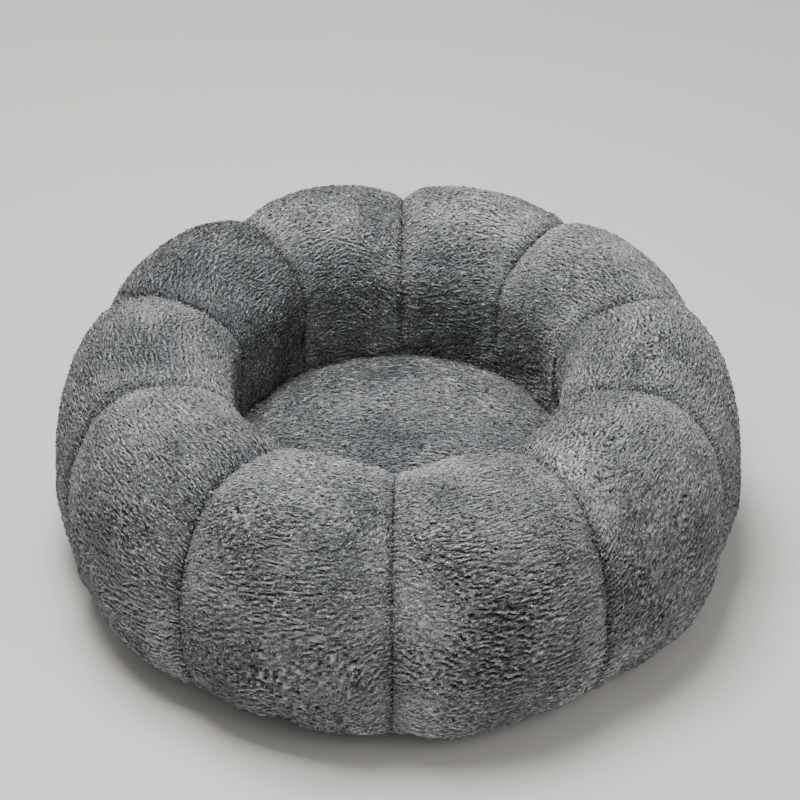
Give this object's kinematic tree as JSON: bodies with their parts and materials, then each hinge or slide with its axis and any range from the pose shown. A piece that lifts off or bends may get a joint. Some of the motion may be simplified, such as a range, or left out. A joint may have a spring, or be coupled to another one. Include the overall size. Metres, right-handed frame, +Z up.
{
  "type": "bean bag chair",
  "caption": "Round floor bean bag chair: a ring of puffed plush petals round a low domed seat, with padded grip base and curved underside zip.",
  "frame": {"origin": "centre of the base's underside, on the floor", "axes": "+Z up, -Y to the front, +X to the sitter's left; a seam between two petals lies at the middle of the front and of the back"},
  "size_m": [1.05, 1.0346, 0.39],
  "materials": {
    "plush": "long soft pile, matt with pale tips",
    "bag_cloth": "plain woven, matt",
    "filling": "loose beads and foam crumb, matt",
    "grip_cloth": "woven cloth with raised rubbery dots",
    "wadding": "fluffy, matt",
    "zip_tape": "woven tape",
    "zip_teeth": "moulded, satin",
    "zip_metal": "plated, slightly worn"
  },
  "bodies": {
    "chair": {"base_pad": "wadding", "grip_cloth": "grip_cloth", "petal_bag_01": "bag_cloth", "petal_bag_02": "bag_cloth", "petal_bag_03": "bag_cloth", "petal_bag_04": "bag_cloth", "petal_bag_05": "bag_cloth", "petal_bag_06": "bag_cloth", "petal_bag_07": "bag_cloth", "petal_bag_08": "bag_cloth", "petal_bag_09": "bag_cloth", "petal_bag_10": "bag_cloth", "petal_cover_01": "plush", "petal_cover_02": "plush", "petal_cover_03": "plush", "petal_cover_04": "plush", "petal_cover_05": "plush", "petal_cover_06": "plush", "petal_cover_07": "plush", "petal_cover_08": "plush", "petal_cover_09": "plush", "petal_cover_10": "plush", "petal_filling_01": "filling", "petal_filling_02": "filling", "petal_filling_03": "filling", "petal_filling_04": "filling", "petal_filling_05": "filling", "petal_filling_06": "filling", "petal_filling_07": "filling", "petal_filling_08": "filling", "petal_filling_09": "filling", "petal_filling_10": "filling", "seat_bag": "bag_cloth", "seat_cover": "plush", "seat_filling": "filling", "zip_bottom_stop": "zip_metal", "zip_tape_inner": "zip_tape", "zip_tape_outer": "zip_tape", "zip_teeth_inner": "zip_teeth", "zip_teeth_outer": "zip_teeth", "zip_top_stop": "zip_metal"},
    "slider": {"zip_slider": "zip_metal"},
    "pull": {"zip_pull": "zip_metal"}
  },
  "joints": [
    {"name": "zip_run", "type": "hinge", "parent": "chair", "child": "slider", "pos_m": [0, 0, 0.007], "axis": [0, 0, -1], "range_deg": [0, 187.7]},
    {"name": "pull_swing", "type": "hinge", "parent": "slider", "child": "pull", "pos_m": [-0.33522, -0.02283, 0.0033], "axis": [-0.9977, -0.0679, 0], "range_deg": [0, 175]}
  ]
}
